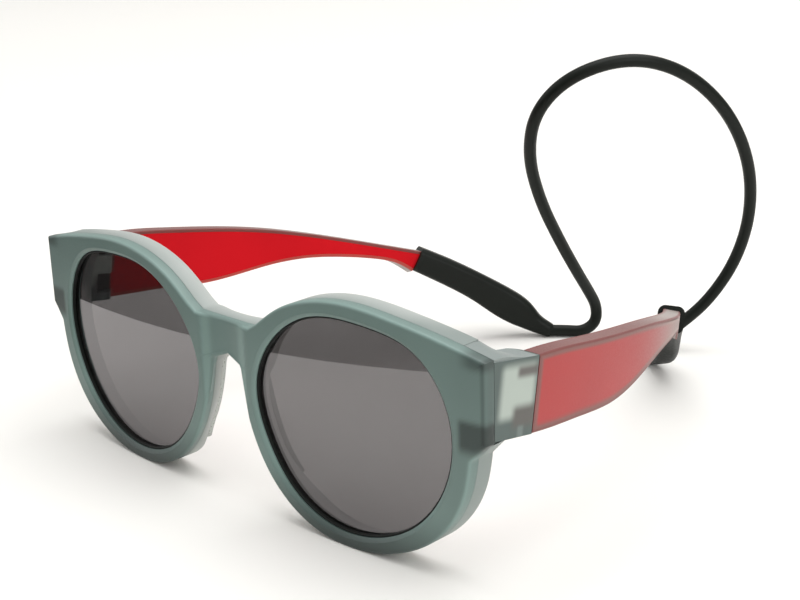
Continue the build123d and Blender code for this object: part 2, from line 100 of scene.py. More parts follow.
# %% Node helpers


def fill(tree, node, inputs):
    """Link inputs of a node to sockets, or set them to constants. A colour is three numbers."""
    for key, value in inputs.items():
        socket = node.inputs[key]
        if isinstance(value, bpy.types.NodeSocket):
            tree.links.new(value, socket)
        else:
            socket.default_value = (*value, 1) if socket.type == "RGBA" else value


def add_node(tree, kind, inputs=(), **settings):
    """New node of a kind, with its settings made first and its inputs filled then."""
    node = tree.nodes.new(kind)
    for key, value in settings.items():
        setattr(node, key, value)
    fill(tree, node, dict(inputs))
    return node


def ramp(tree, value, start, end, low=0.0, high=1.0, kind="SMOOTHSTEP"):
    """Step of a value from start to end, between two results."""
    span = {"From Min": start, "From Max": end, "To Min": low, "To Max": high}
    return add_node(tree, "ShaderNodeMapRange", {"Value": value, **span},
                    interpolation_type=kind).outputs["Result"]


def math_node(tree, operation, first, second):
    """Result of an operation on two numbers."""
    return add_node(tree, "ShaderNodeMath", {0: first, 1: second}, operation=operation).outputs[0]


def vector_node(tree, operation, first, second, output="Vector"):
    """Result of an operation on two vectors: a vector, or a number with output "Value"."""
    return add_node(tree, "ShaderNodeVectorMath", {0: first, 1: second},
                    operation=operation).outputs[output]


def blend_colors(tree, share, first, second):
    """Colour at a share of the way from the first to the second."""
    return add_node(tree, "ShaderNodeMix", {"Factor": share, "A": first, "B": second},
                    data_type="RGBA").outputs["Result"]


def noise(tree, place, scale):
    """Noise over places, about so many waves to the metre."""
    return add_node(tree, "ShaderNodeTexNoise", {"Scale": scale, "Vector": place}).outputs["Fac"]


def relief(tree, height, strength, distance):
    """Normals bent by a height, over a distance in metres."""
    return add_node(tree, "ShaderNodeBump", {"Strength": strength, "Distance": distance,
                                             "Height": height}).outputs["Normal"]


# %% [markdown]
# ## Camera and light
#
# The photo was taken from the wearer's front left, a little above, with a long lens, in a light
# tent. So the camera has a 67.5 mm lens, a large soft lamp hangs over the glasses, and a weaker
# one stands on each side. The table is white paper. In the photo the lenses mirror the front
# edge of that paper as a curved line, so the paper here ends in front of the glasses too.

# %% Camera
CAMERA_AT = Vector((0.250634, -0.273473, 0.147268))
camera_data = bpy.data.cameras.new("photo_camera")
camera_data.lens = 67.5
camera_data.clip_start, camera_data.clip_end = 0.01, 20
camera = bpy.data.objects.new("photo_camera", camera_data)
pan, tilt, roll = (Matrix.Rotation(math.radians(angle), 4, axis)
                   for angle, axis in ((44.0223, "Z"), (72.7454, "X"), (-0.9734, "Z")))
camera.matrix_world = Matrix.Translation(CAMERA_AT) @ pan @ tilt @ roll
bpy.context.collection.objects.link(camera)
bpy.context.scene.camera = camera
bpy.context.scene.view_settings.view_transform = "Standard"

# %% Lamps and world
TENT_BELOW, TENT_ABOVE, TENT_SEEN = 0.05, 0.55, 0.95  # strength of the tent's light
TENT_EDGE = 0.04  # half height of its blurred horizon


def area_lamp(name, place, target, width, watts):
    """Square lamp of a width, at a place, facing a target."""
    data = bpy.data.lights.new(name, "AREA")
    data.size, data.energy = width, watts
    lamp = bpy.data.objects.new(name, data)
    lamp.location = place
    lamp.rotation_euler = (Vector(target) - Vector(place)).to_track_quat("-Z", "Y").to_euler()
    bpy.context.collection.objects.link(lamp)


area_lamp("lamp_above", (0.05, 0.1, 0.9), (0, 0, 0), 1.0, 8)
area_lamp("lamp_left", (0.9, -0.2, 0.45), (0, 0, 0.03), 0.7, 3.5)
area_lamp("lamp_right", (-0.8, -0.5, 0.5), (0, 0, 0.03), 0.7, 1.6)
world = bpy.data.worlds.new("light_tent")
bpy.context.scene.world = world
world.use_nodes = True
tent = world.node_tree
heading = add_node(tent, "ShaderNodeTexCoord").outputs["Generated"]
upward = add_node(tent, "ShaderNodeSeparateXYZ", {"Vector": heading}).outputs["Z"]
# bright above the horizon and dim below the table, but plain white all round where it is seen
glow = ramp(tent, upward, -TENT_EDGE, TENT_EDGE, TENT_BELOW, TENT_ABOVE, "LINEAR")
sight = add_node(tent, "ShaderNodeLightPath").outputs["Is Camera Ray"]
strength = math_node(tent, "MAXIMUM", math_node(tent, "MULTIPLY", sight, TENT_SEEN), glow)
fill(tent, tent.nodes["Background"], {"Color": (1.0, 0.99, 0.97), "Strength": strength})
print("lamps:", ", ".join(lamp.name for lamp in bpy.data.lights))

# %% [markdown]
# ## Making meshes
#
# Almost every piece here is a tube in the wide sense: a closed profile carried along a path.
# That makes a grid of points, stations by ring, and a grid becomes a mesh with tables of indices
# and no loop over its points. A path that closes on itself gives a ring, such as a rim, and an
# open one gets a strip of faces over each end.

# %% Mesh helpers


def tube_faces(stations, ring, closed):
    """Quads of a grid whose rings are closed, with the path closed too or capped by strips."""
    index = np.arange(stations * ring).reshape(stations, ring)
    after = np.roll(index, -1, axis=0)
    quads = np.stack([index, np.roll(index, -1, 1), np.roll(after, -1, 1), after], -1)
    if closed:
        return quads.reshape(-1, 4)
    half = np.arange(ring // 2 - 1)
    cap = np.stack([half, ring - 1 - half, ring - 2 - half, half + 1], -1)
    return np.vstack([quads[:-1].reshape(-1, 4), cap, (stations - 1) * ring + cap[:, ::-1]])


def rounded_rectangle(width, height, corner, count=48):
    """Points of a rounded rectangle: its corner circles pushed out to the four corners."""
    turn = (np.arange(count) + 0.5) / count * 2 * math.pi
    width, height, corner = (np.reshape(size, (-1, 1)) for size in (width, height, corner))
    across = np.sign(np.cos(turn)) * (width / 2 - corner) + corner * np.cos(turn)
    up = np.sign(np.sin(turn)) * (height / 2 - corner) + corner * np.sin(turn)
    return across, up


def outward(points, faces):
    """The same faces, turned round if the volume that they enclose comes out negative."""
    a, b, c, d = (points[faces[:, i]] for i in range(4))
    volume = (np.cross(a, b) * c).sum() + (np.cross(a, c) * d).sum()
    return faces if volume > 0 else faces[:, ::-1]


def on_table(points):
    """The same points, none below the table: what would dip under it is flat there."""
    return np.maximum(points, (-np.inf, -np.inf, 0))


def unit(vectors):
    """The same vectors, each 1 long."""
    return vectors / np.maximum(np.linalg.norm(vectors, axis=-1, keepdims=True), 1e-9)


def make_mesh(name, points, faces, material, body, nodes=(), mirrored=False, crease=35, tint=None):
    """Object from points in millimetres on the table: smooth, but sharp past the crease angle.

    tint is a colour for each point, kept as an attribute that a painted plastic reads.
    """
    points = np.asarray(points, float).reshape(-1, 3) / 1000
    if mirrored:
        points = points * np.array([-1, 1, 1])
    faces = outward(points, faces)
    mesh = bpy.data.meshes.new(name)
    mesh.from_pydata(points.tolist(), [], faces.tolist())
    mesh.shade_smooth()
    mesh.set_sharp_from_angle(angle=math.radians(crease))
    mesh.materials.append(material)
    if tint is not None:
        colors = np.ones((len(points), 4))
        colors[:, :3] = np.reshape(tint, (-1, 3))
        painted = mesh.attributes.new("tint", "FLOAT_COLOR", "POINT")
        painted.data.foreach_set("color", colors.ravel())
    piece = bpy.data.objects.new(name, mesh)
    bpy.context.collection.objects.link(piece)
    if body:
        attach(piece, body)
    if nodes:
        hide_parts(*nodes)
    print(name, len(points), "points", len(faces), "faces")
    return piece


def make_pair(name, points, material, body, node="", closed=False, **more):
    """Left piece from a grid and its mirror image on the right. In the names {} is the side."""
    faces = tube_faces(*points.shape[:2], closed)
    return [make_mesh(name.format(side), points, faces, material, body.format(side),
                      [node.format(side)] if node else (), side == "right", **more)
            for side in ("left", "right")]


# %% Smooth curves through given points


def smooth_curve(points, samples, closed=False, start=None):
    """Cubic curve through the points, by arc length between them.

    On each span it is a Hermite cubic. The slopes at the points solve the linear equations that
    make the curvature continuous, with natural ends, a given start slope or a closed loop.
    """
    points = np.asarray(points, float)
    if closed:
        points = np.vstack([points, points[:1]])
    steps = np.linalg.norm(np.diff(points, axis=0), axis=1)
    knots = np.concatenate([[0], np.cumsum(steps)])
    chords = np.diff(points, axis=0) / steps[:, None]
    count = len(points)
    system, right = np.zeros((count, count)), np.zeros_like(points)
    rows = np.arange(1, count - 1)
    system[rows, rows - 1], system[rows, rows + 1] = steps[1:], steps[:-1]
    system[rows, rows] = 2 * (steps[:-1] + steps[1:])
    right[rows] = 3 * (steps[1:, None] * chords[:-1] + steps[:-1, None] * chords[1:])
    if closed:
        system[0, [0, 1, -2]] = 2 * (steps[0] + steps[-1]), steps[-1], steps[0]
        right[0] = 3 * (steps[0] * chords[-1] + steps[-1] * chords[0])
        system[-1, 0], system[-1, -1] = 1, -1
    else:
        system[0, :2], right[0] = (2, 1), 3 * chords[0]
        system[-1, -2:], right[-1] = (1, 2), 3 * chords[-1]
        if start is not None:
            system[0, :2], right[0] = (1, 0), start
    slopes = np.linalg.solve(system, right)
    at = np.linspace(0, knots[-1], samples + 1)[: samples if closed else samples + 1]
    span = np.clip(np.searchsorted(knots, at, side="right") - 1, 0, count - 2)
    width = steps[span][:, None]
    t = (at - knots[span])[:, None] / width
    before = (1 + 2 * t) * (1 - t) ** 2 * points[span] + t * (1 - t) ** 2 * width * slopes[span]
    after = t ** 2 * (3 - 2 * t) * points[span + 1] - t ** 2 * (1 - t) * width * slopes[span + 1]
    return before + after


# %% [markdown]
# ## Outlines of the front
#
# Seen from in front, each half is an opening with a rim round it, an end piece on the outer side
# and half a bridge on the inner side. Both outlines are star shaped about the middle of the
# opening, so each is a function of the angle there. That ties the opening to the outer edge,
# point for point, and the plate between them becomes a grid.

# %% Outline tables
OPENING_SHARES = [
    (0.97, 0.38), (0.66, 0.86), (0.20, 0.985), (-0.32, 0.955), (-0.76, 0.66), (-1.0, 0.14),
    (-0.88, -0.41), (-0.58, -0.82), (-0.19, -1.0), (0.22, -0.975), (0.60, -0.77), (0.90, -0.36),
]
RIM_LOWER_SHARES = [
    (-1.055, 0.210), (-0.967, -0.199), (-0.763, -0.629), (-0.398, -0.926), (0.012, -1.0),
    (0.416, -0.910), (0.795, -0.633), (0.994, -0.239), (1.037, 0.022),
]
RIM_UPPER_SHARES = [
    (0.942, 0.856), (0.423, 0.960), (0.022, 0.998), (-0.306, 0.954), (-0.619, 0.818),
    (-0.832, 0.651),
]
MIDDLE = np.array([OPENING_OFFSET, OPENING_MIDDLE])
OPENING_POINTS = MIDDLE + np.array(OPENING_SHARES) * (OPENING_WIDTH / 2, OPENING_HEIGHT / 2)
BRIDGE_CORNER = (9.2, OPENING_MIDDLE + 16.65)
ARCH_TOP = (0.0, OPENING_MIDDLE + 8.15)
END_LOW, END_CHAMFER = OPENING_MIDDLE + 4.85, 1.2
HOUSING_SIDE, HOUSING_FOOT = 66.95, 31.9  # the rear layer makes room for the hinge there


def half_outline():
    """Outer outline of the left half, anticlockwise from the arch: splines and straight runs."""
    reach = OPENING_WIDTH / 2 + RIM_CHEEK
    low = MIDDLE + np.array(RIM_LOWER_SHARES) * (reach, OPENING_HEIGHT / 2 + RIM_FOOT)
    high = MIDDLE + np.array(RIM_UPPER_SHARES) * (reach, OPENING_HEIGHT / 2 + RIM_TOP)
    end_top = (HALF_FRONT, OPENING_MIDDLE + 0.796 * (OPENING_HEIGHT / 2 + RIM_TOP))
    rim_low = smooth_curve(low, 260)
    slope = unit(rim_low[1] - rim_low[0])
    arch_side = (2.6, ARCH_TOP[1] - 0.55)
    arch = smooth_curve([ARCH_TOP, arch_side, low[0] - slope * 0.35], 24, start=(1, 0))
    below_ray = 1.04 * (ARCH_TOP[1] - MIDDLE[1]) / MIDDLE[0]  # so that no ray meets it twice
    arch[:, 1] = np.minimum(arch[:, 1], ARCH_TOP[1] - below_ray * arch[:, 0])
    under = [(HALF_FRONT - END_CHAMFER, END_LOW - END_CHAMFER), (HALF_FRONT, END_LOW)]
    rim_high = smooth_curve([end_top, *high], 200)
    return np.vstack([arch[:-1], rim_low, under, rim_high, [BRIDGE_CORNER, (0, BRIDGE_CORNER[1])]])


def angle_about_opening(points):
    """Angle of points about the middle of the opening, from 0 to a full turn."""
    away = np.asarray(points) - MIDDLE
    return np.arctan2(away[:, 1], away[:, 0]) % (2 * math.pi)


def at_angles(outline, angles):
    """Points of a star-shaped outline at given angles, straight between its own points."""
    own = angle_about_opening(outline)
    return np.stack([np.interp(angles, own, outline[:, i], period=2 * math.pi) for i in (0, 1)], -1)


def inward_normals(outline):
    """Unit normals of a closed anticlockwise outline, longer at corners to keep an inset even."""
    before = unit(outline - np.roll(outline, 1, axis=0))
    after = unit(np.roll(outline, -1, axis=0) - outline)
    along = unit(before + after)
    grow = 1 / np.clip((along * after).sum(1), 0.6, 1)
    return np.stack([-along[:, 1], along[:, 0]], -1) * grow[:, None]


outline = half_outline()
print("outline of a half:", len(outline), "points, width", round(np.ptp(outline[:, 0]), 2), "mm")

# %% [markdown]
# ## Finishes
#
# The plastics are bead-blasted, so they have a fine matte skin and blurred insides. One recipe
# serves them: a Principled shader whose roughness and relief come from noise in Object
# coordinates, at the size of the real grain. Where light passes through thin or thick parts in
# another tone, the colour is painted: either a colour kept on the points of a mesh, or soft
# boxes in the coordinates of the hinge. Some light and shade are painted the same way: painted
# shade low down on the green front and at its ends, painted highlights on its edges, painted
# light on the walls of the openings, and painted shade on the core's knuckles in the boxes.

# %% Painting in hinge coordinates


def hinge_coordinates(tree):
    """Places along the temple (u) and up the hinge axis (w), in millimetres, from Object ones."""
    origin = stand_on_hinge([0, 0, 0]) / 1000
    fall = TEMPLE_TILT - LEAN
    place = add_node(tree, "ShaderNodeTexCoord").outputs["Object"]
    away = vector_node(tree, "SUBTRACT", place, (0.0, origin[1], origin[2]))
    along = (0.0, 1000 * math.cos(fall), -1000 * math.sin(fall))
    up = (0.0, 1000 * math.sin(fall), 1000 * math.cos(fall))
    return [vector_node(tree, "DOT_PRODUCT", away, axis, "Value") for axis in (along, up)]


def soft_box(tree, u, w, u_span, w_span, soft):
    """1 inside a box of u and w, 0 outside, with edges that fade over a distance."""
    share = 1.0
    for value, span in ((u, u_span), (w, w_span)):
        for edge, way in zip(span, (soft, -soft)):
            side = ramp(tree, value, edge - way, edge + way)
            share = math_node(tree, "MULTIPLY", share, side)
    return share


# %% Material recipe


SLOW_WAVES, RELIEF_SHARE, RELIEF_METRES = 35, 0.04, 0.0001


def plastic(name, color, roughness, transmission=0.0, grain=2600, specular=0.5, coat=0.0):
    """Principled material with fine grain in its roughness and relief, and a slow change of tone.

    color is a colour, "tint" for the colours kept on the mesh, or a function that adds nodes.
    """
    material = bpy.data.materials.new(name)
    material.use_nodes = True
    tree = material.node_tree
    place = add_node(tree, "ShaderNodeTexCoord").outputs["Object"]
    fine, slow = noise(tree, place, grain), noise(tree, place, SLOW_WAVES)
    if color == "tint":
        base = add_node(tree, "ShaderNodeAttribute", attribute_name="tint").outputs["Color"]
    else:
        base = color(tree) if callable(color) else color
    tone = {0: base, "Scale": ramp(tree, slow, 0.25, 0.75, 0.95, 1.05)}
    toned = add_node(tree, "ShaderNodeVectorMath", tone, operation="SCALE").outputs["Vector"]
    fill(tree, tree.nodes["Principled BSDF"], {
        "Base Color": toned, "IOR": 1.47, "Specular IOR Level": specular,
        "Roughness": ramp(tree, fine, 0.2, 0.8, roughness * 0.85, roughness * 1.15),
        "Transmission Weight": transmission, "Coat Weight": coat, "Coat Roughness": 0.25,
        "Normal": relief(tree, fine, RELIEF_SHARE, RELIEF_METRES)})
    return material


BOX_WALL = (0.075, 0.105, 0.097)
# boxes of u and w, how softly they end, and their colours: painted light through the box
BOX_SPOTS = (
    ((-7.4, 3.2), (-3.9, 7.0), 1.3, (0.40, 0.455, 0.41)),  # the hollow
    ((-2.6, 4.6), (4.4, 6.6), 0.9, (0.115, 0.108, 0.10)),  # upper knuckle
    ((-3.0, 4.6), (-6.0, -1.6), 1.2, (0.10, 0.096, 0.087)),  # lower knuckle
    ((-1.1, 0.7), (-8.5, -5.8), 0.5, (0.14, 0.175, 0.165)),  # screw, from below
    ((-20.0, 2.9), (8.35, 12.0), 0.08, (0.24, 0.28, 0.275)),  # top face
)
# the knuckles' dark grey is painted shade, where they sit inside the frosted box
KNUCKLE_SHADE, RED = (0.06, 0.055, 0.05), (0.57, 0.008, 0.014)


def housing_colors(tree):
    """Frosted hinge box, with the light through it painted: bright over its hollow, dark over solid
    walls and over the knuckles.
    """
    u, w = hinge_coordinates(tree)
    color = BOX_WALL
    for u_span, w_span, soft, tone in BOX_SPOTS:
        color = blend_colors(tree, soft_box(tree, u, w, u_span, w_span, soft), color, tone)
    return color


def core_colors(tree):
    """Red core, whose knuckles ahead of the temple are painted dark grey: painted shade inside the
    frosted box.
    """
    return blend_colors(tree, ramp(tree, hinge_coordinates(tree)[0], 3.2, 4.4), KNUCKLE_SHADE, RED)


LENS_IOR, LENS_THROUGH = 1.87, (0.33, 0.322, 0.325)
# the lower mirror colour is painted shade: the paper it mirrors by the lens foot lies in shade
COAT_LOW_SHADED, COAT_HIGH = (0.73, 0.70, 0.72), (0.96, 0.93, 0.955)  # weaker low down


def lens_material():
    """Grey lens: a coat that mirrors by Fresnel on its front, painted darker low down as painted
    shade, and straight dim transmission.
    """
    material = bpy.data.materials.new("lens_grey")
    material.use_nodes = True
    tree = material.node_tree
    tree.nodes.remove(tree.nodes["Principled BSDF"])
    through = add_node(tree, "ShaderNodeBsdfTransparent", {"Color": LENS_THROUGH}).outputs[0]
    place = add_node(tree, "ShaderNodeTexCoord").outputs["Object"]
    height = add_node(tree, "ShaderNodeSeparateXYZ", {"Vector": place}).outputs["Z"]
    # painted shade: the mirror is darker low down
    coat = blend_colors(tree, ramp(tree, height, 0.004, 0.036), COAT_LOW_SHADED, COAT_HIGH)
    mirror = add_node(tree, "ShaderNodeBsdfGlossy", {
        "Color": coat, "Roughness": 0.02,
        "Normal": relief(tree, noise(tree, place, 60), 0.02, 0.0002)}).outputs[0]
    fresnel = add_node(tree, "ShaderNodeFresnel", {"IOR": LENS_IOR}).outputs["Fac"]
    inside = add_node(tree, "ShaderNodeNewGeometry").outputs["Backfacing"]
    share = math_node(tree, "MULTIPLY", fresnel, math_node(tree, "SUBTRACT", 1.0, inside))
    mix = add_node(tree, "ShaderNodeMixShader", {0: share, 1: through, 2: mirror})
    fill(tree, tree.nodes["Material Output"], {"Surface": mix.outputs[0]})
    return material


# %% Materials
frosted_green = plastic("frosted_green", "tint", 0.42, transmission=0.08)
frosted_pale = plastic("frosted_pale", "tint", 0.42, transmission=0.15)
clear = plastic("clear_plastic", (0.60, 0.63, 0.60), 0.3, transmission=0.45)
housing = plastic("housing_plastic", housing_colors, 0.35, transmission=0.05)
lens_grey = lens_material()
seal_black = plastic("seal_black", (0.008, 0.010, 0.009), 0.5, specular=0.2)
temple_frost = plastic("temple_frost", "tint", 0.42, transmission=0.08)
temple_red = plastic("temple_red", core_colors, 0.7, specular=0.05)
silicone = plastic("silicone_black", (0.004, 0.006, 0.004), 0.45, grain=1500, specular=0.18,
                   coat=0.06)
steel = plastic("screw_steel", (0.5, 0.5, 0.5), 0.3)
steel.node_tree.nodes["Principled BSDF"].inputs["Metallic"].default_value = 1.0
print("materials:", len(bpy.data.materials))

# %% Painted points


def smooth_step(value, start, end):
    """0 before start, 1 past end, and t^2 (3 - 2t) between them."""
    t = np.clip((value - start) / (end - start), 0, 1)
    return t * t * (3 - 2 * t)


def mixed(share, first, second):
    """Colours between two, at a share for each point."""
    return np.asarray(first) * (1 - share[..., None]) + np.asarray(second) * share[..., None]


# %% [markdown]
# ## The two layers of the front
#
# Each layer is a plate with a hole, bent to a shallow cylinder. Its profile is carried round the
# opening: up the wall of the opening, over the bevel, across the face to the outer edge, round
# that edge and back behind. The bridge is hollowed by a second cylinder, in front and behind.
# Beside the nose the rear layer is thinner.

# %% Front layers
WRAP_RADIUS = 593.0
FACE_THICKNESS, REAR_THICKNESS, BOND_GAP = 2.8, 4.7, 0.03
DISH_RADIUS, DISH_FRONT, DISH_BACK = 26.0, 1.3, 0.9
BEVEL_DEPTH, BEVEL_WIDTH, SEAL_DEPTH, SEAL_WIDTH = 0.7, 0.9, 1.1, 0.5
LENS_FRONT, LENS_THICKNESS, LENS_OVERLAP = 1.83, 1.8, 0.87
REAR_END = FACE_THICKNESS + REAR_THICKNESS
KEPT_END = LENS_FRONT + LENS_THICKNESS + 0.6  # what holds the lens keeps its depth
NOSE_CUT = 0.6  # share of the rest that is cut beside the nose
GREEN, PALE, PALE_GREY = (0.146, 0.214, 0.196), (0.46, 0.49, 0.47), (0.25, 0.295, 0.28)
# the colour of an opening's wall behind the lens is painted light, brighter than the pale plastic
PALE_WALL_PAINTED_LIGHT = (0.85, 0.86, 0.84)


def wrapped(x, depth):
    """How far back a point lies: circle about a far upright axis, at a depth behind the face."""
    return WRAP_RADIUS - np.sqrt((WRAP_RADIUS - depth) ** 2 - x ** 2)


def dish(x, depth):
    """Depth of a round hollow of the bridge, whose deepest point is at the middle."""
    return np.sqrt(np.maximum(DISH_RADIUS ** 2 - x ** 2, 0)) - DISH_RADIUS + depth


def face_surface(x):
    """How far back the face lies: the cylinder, or the hollow of the bridge where it is deeper."""
    return np.maximum(wrapped(x, 0), np.where(abs(x) < DISH_RADIUS, dish(x, DISH_FRONT), -99))


def back_surface(x):
    """How far back the rear surface lies, with the hollow of the bridge cut from behind."""
    return np.minimum(wrapped(x, REAR_END),
                      np.where(abs(x) < DISH_RADIUS, REAR_END - dish(x, DISH_BACK), 99))


def layer_angles(outer):
    """Even angles, with the corners of the outline added and few of them on the middle line."""
    even = np.linspace(0, 2 * math.pi, 361)[:-1]
    middle_line = angle_about_opening(np.array([(0.0, BRIDGE_CORNER[1]), ARCH_TOP]))
    even = even[(even < middle_line[0] - 0.02) | (even > middle_line[1] + 0.02)]
    kept = [(0.0, z) for z in np.linspace(ARCH_TOP[1], BRIDGE_CORNER[1], 7)]
    steps = np.linalg.norm(np.diff(outer, axis=0, append=outer[:1]), axis=1)
    turns = outer[(steps > 1.0) | (np.roll(steps, 1) > 1.0)]
    corners = angle_about_opening(np.vstack([turns, kept]))
    even = even[np.abs(even[:, None] - corners[None, :]).min(1) > 0.006]
    return np.unique(np.round(np.concatenate([even, corners]), 6))


def nose_side(plan):
    """1 along the side of the nose, 0 elsewhere, with soft steps between."""
    x, z = plan[..., 0], plan[..., 1]
    return smooth_step(z, 35.2, 31.0) * smooth_step(x, 25.0, 13.0) * smooth_step(z, 0.0, 15.0)


def thinned(x, y, z):
    """y of points, moved forward beside the nose, where the layer behind the lens is thinner."""
    behind = np.maximum(y - wrapped(x, 0) - KEPT_END, 0)
    return y - NOSE_CUT * nose_side(np.stack([x, z], -1)) * behind


def layer_rings(outer, surfaces, radii, wall, way, flares=(0.0, 0.0)):
    """Rings of a layer, each (plan points, depths), in order round its profile.

    wall holds the rings of the opening's wall, as (offset from the opening, depth or surface).
    It ends on the first of the two surfaces, and way is 1 where that is the front one, else -1.
    Between the opening and the outer edge both surfaces are blends of the two outlines, and
    each meets the edge in a quarter circle of its radius. A flare draws that edge in beside the
    nose. Points on the middle line stay on it, between its two ends.
    """
    angles = layer_angles(outer)
    inner = at_angles(smooth_curve(OPENING_POINTS, 600, closed=True), angles)
    outer = at_angles(outer, angles)
    from_opening, from_edge = -inward_normals(inner), inward_normals(outer)
    on_middle = outer[:, 0] < 1e-3
    outer[on_middle, 0] = 0
    ends = np.flatnonzero(on_middle)[[0, -1]]
    from_edge[on_middle] = 0
    from_edge[ends, 1] = -1, 1
    rings = [(inner + offset * from_opening, depth) for offset, depth in wall]
    starts = rings[-1][0], rings[0][0]
    edge = []
    cut_back = nose_side(outer)[:, None] * from_edge
    for order, surface, radius, flare in zip((1, -1), surfaces, radii, flares):
        for angle in np.linspace(0, math.pi / 2, 5)[::order]:
            plan = outer + radius * (1 - math.sin(angle)) * from_edge + flare * cut_back
            plan[on_middle, 1] = np.clip(plan[on_middle, 1], plan[ends[1], 1], plan[ends[0], 1])
            sunk = order * way * radius * (1 - math.cos(angle))
            edge.append((plan, surface(plan[:, 0]) + sunk))
    rims = edge[0][0], edge[-1][0]
    blends = np.linspace(0, 1, 15)[1:-1]
    rings += [(starts[0] + t * (rims[0] - starts[0]), surfaces[0]) for t in blends]
    rings += edge
    rings += [(rims[1] + t * (starts[1] - rims[1]), surfaces[1]) for t in blends]
    return rings


def layer_mesh(name, rings, material, node, colors):
    """Both halves of a layer: the grid of its rings, mirrored and welded along the middle."""
    grid = []
    for plan, depth in rings:
        deep = depth(plan[:, 0]) if callable(depth) else depth
        deep = wrapped(plan[:, 0], deep) if np.isscalar(deep) else deep
        grid.append(np.stack([plan[:, 0], thinned(plan[:, 0], deep, plan[:, 1]), plan[:, 1]], -1))
    grid = np.stack(grid, 1)
    half = grid.reshape(-1, 3)
    faces = outward(half, tube_faces(*grid.shape[:2], closed=True))
    middle = (np.abs(half[:, 0]) < 1e-6)[faces].all(1)
    faces = faces[~middle]
    both = np.vstack([half, half * (-1, 1, 1)])
    faces = np.vstack([faces, faces[:, ::-1] + len(half)])
    _, first, welded = np.unique(np.round(both, 5) + 0.0, axis=0, return_index=True,
                                 return_inverse=True)
    points = both[first]
    make_mesh(name, on_table(stand(points)), welded.reshape(-1)[faces], material, "frame", [node],
              tint=colors(*points.T))


def face_colors_and_painted_light(x, y, z):
    """Green front: painted shade low down and at the ends, a painted highlight on the edges,
    darkest over the box's solid corners.
    """
    side, depth = np.abs(x), y - wrapped(x, 0)
    # painted shade: darker low down and towards the ends
    light = 0.14 + 0.93 * smooth_step(z, -2.0, 17.0)
    light *= 1 - 0.08 * smooth_step(side, 60.0, 70.0)
    low = smooth_step(side, 66.8, 68.4) * smooth_step(z, 38.0, 36.2) * smooth_step(z, 29.0, 32.0)
    high = smooth_step(side, 67.0, 71.0) * smooth_step(z, 47.4, 49.4)
    light *= (1 - 0.72 * low) * (1 - 0.5 * high)
    # painted highlight on the bevel and the rounded outer edge
    light *= 1 + 0.35 * smooth_step(depth, 0.02, 0.3) * smooth_step(depth, 1.0, 0.6)
    # painted shade on the outer end faces
    light *= 1 - 0.45 * smooth_step(side, 72.8, 73.4)
    return light[:, None] * np.array(GREEN)


face_wall = [(LENS_OVERLAP, FACE_THICKNESS), (LENS_OVERLAP, LENS_FRONT - BOND_GAP),
             (0.0, LENS_FRONT - BOND_GAP), (0.0, BEVEL_DEPTH), (BEVEL_WIDTH, face_surface)]
face_rings = layer_rings(outline, (face_surface, lambda x: wrapped(x, FACE_THICKNESS)),
                         (0.8, 0.12), face_wall, way=1, flares=(0.0, 0.7))
layer_mesh("front_face", face_rings, frosted_green, "front_face_layer", face_colors_and_painted_light)

# %% Rear layer


def rear_outline():
    """The same outline with a step, where the rear layer stops short of the hinge housing."""
    beyond = (outline[:, 0] > HOUSING_SIDE) & (outline[:, 1] > HOUSING_FOOT)
    first, last = np.flatnonzero(beyond)[[0, -1]]
    before, after = outline[first - 1], outline[last + 1]
    share = (HOUSING_FOOT - before[1]) / (outline[first][1] - before[1])
    foot = before + share * (outline[first] - before)
    share = (HOUSING_SIDE - after[0]) / (outline[last][0] - after[0])
    top = after + share * (outline[last] - after)
    step = [foot, (HOUSING_SIDE, HOUSING_FOOT), top]
    return np.vstack([outline[:first], step, outline[last + 1:]])


def rear_colors(x, y, z):
    """Pale layer: greyer beside the green one and at the ends, with painted light on an opening's
    wall.
    """
    depth = y - wrapped(x, 0)
    grey = 0.75 * smooth_step(depth, 4.6, 2.9) + 0.9 * smooth_step(np.abs(x), 50.0, 66.0)
    color = mixed(np.minimum(grey, 1), PALE, PALE_GREY)
    from_middle = (np.abs(x) - MIDDLE[0]) / OPENING_WIDTH, (z - MIDDLE[1]) / OPENING_HEIGHT
    # painted light: the opening's wall behind the lens is painted brighter than the plastic
    wall = smooth_step(np.hypot(*from_middle), 0.53, 0.515)
    wall = wall * smooth_step(depth, LENS_FRONT, LENS_FRONT + 1.0)
    return mixed(wall, color, PALE_WALL_PAINTED_LIGHT)


rear_start = FACE_THICKNESS + BOND_GAP
behind_lens = LENS_FRONT + LENS_THICKNESS + BOND_GAP
rear_wall = [(LENS_OVERLAP, rear_start), (LENS_OVERLAP, behind_lens), (0.0, behind_lens),
             (0.8, REAR_END - 0.5), (0.95, REAR_END - 0.15), (1.3, back_surface)]
rear_rings = layer_rings(rear_outline(), (back_surface, lambda x: wrapped(x, rear_start)),
                         (0.5, 0.1), rear_wall, way=-1, flares=(1.5, 0.7))
layer_mesh("front_rear", rear_rings, frosted_pale, "front_rear_layer", rear_colors)

# %% [markdown]
# ## Lenses and seals
#
# A lens is a thin bent disc. Here it is a grid of angle by distance from its middle, with the
# same outline as the opening and a rim that reaches under the front. The seal is the black line
# that shows round the lens: a small rounded bar carried round the wall of the opening.

# %% Lenses and seals
SEAL_SHOWN, SEAL_CORNER = 0.72, 0.12  # its front is sunk, so only a share of its depth is made
opening_curve = smooth_curve(OPENING_POINTS, 240, closed=True)
opening_out = -inward_normals(opening_curve)


def placed_on_wrap(plan, depth):
    """Points of the standing front from plan points and their depth behind the face."""
    return stand(np.stack([plan[..., 0], wrapped(plan[..., 0], depth), plan[..., 1]], -1))


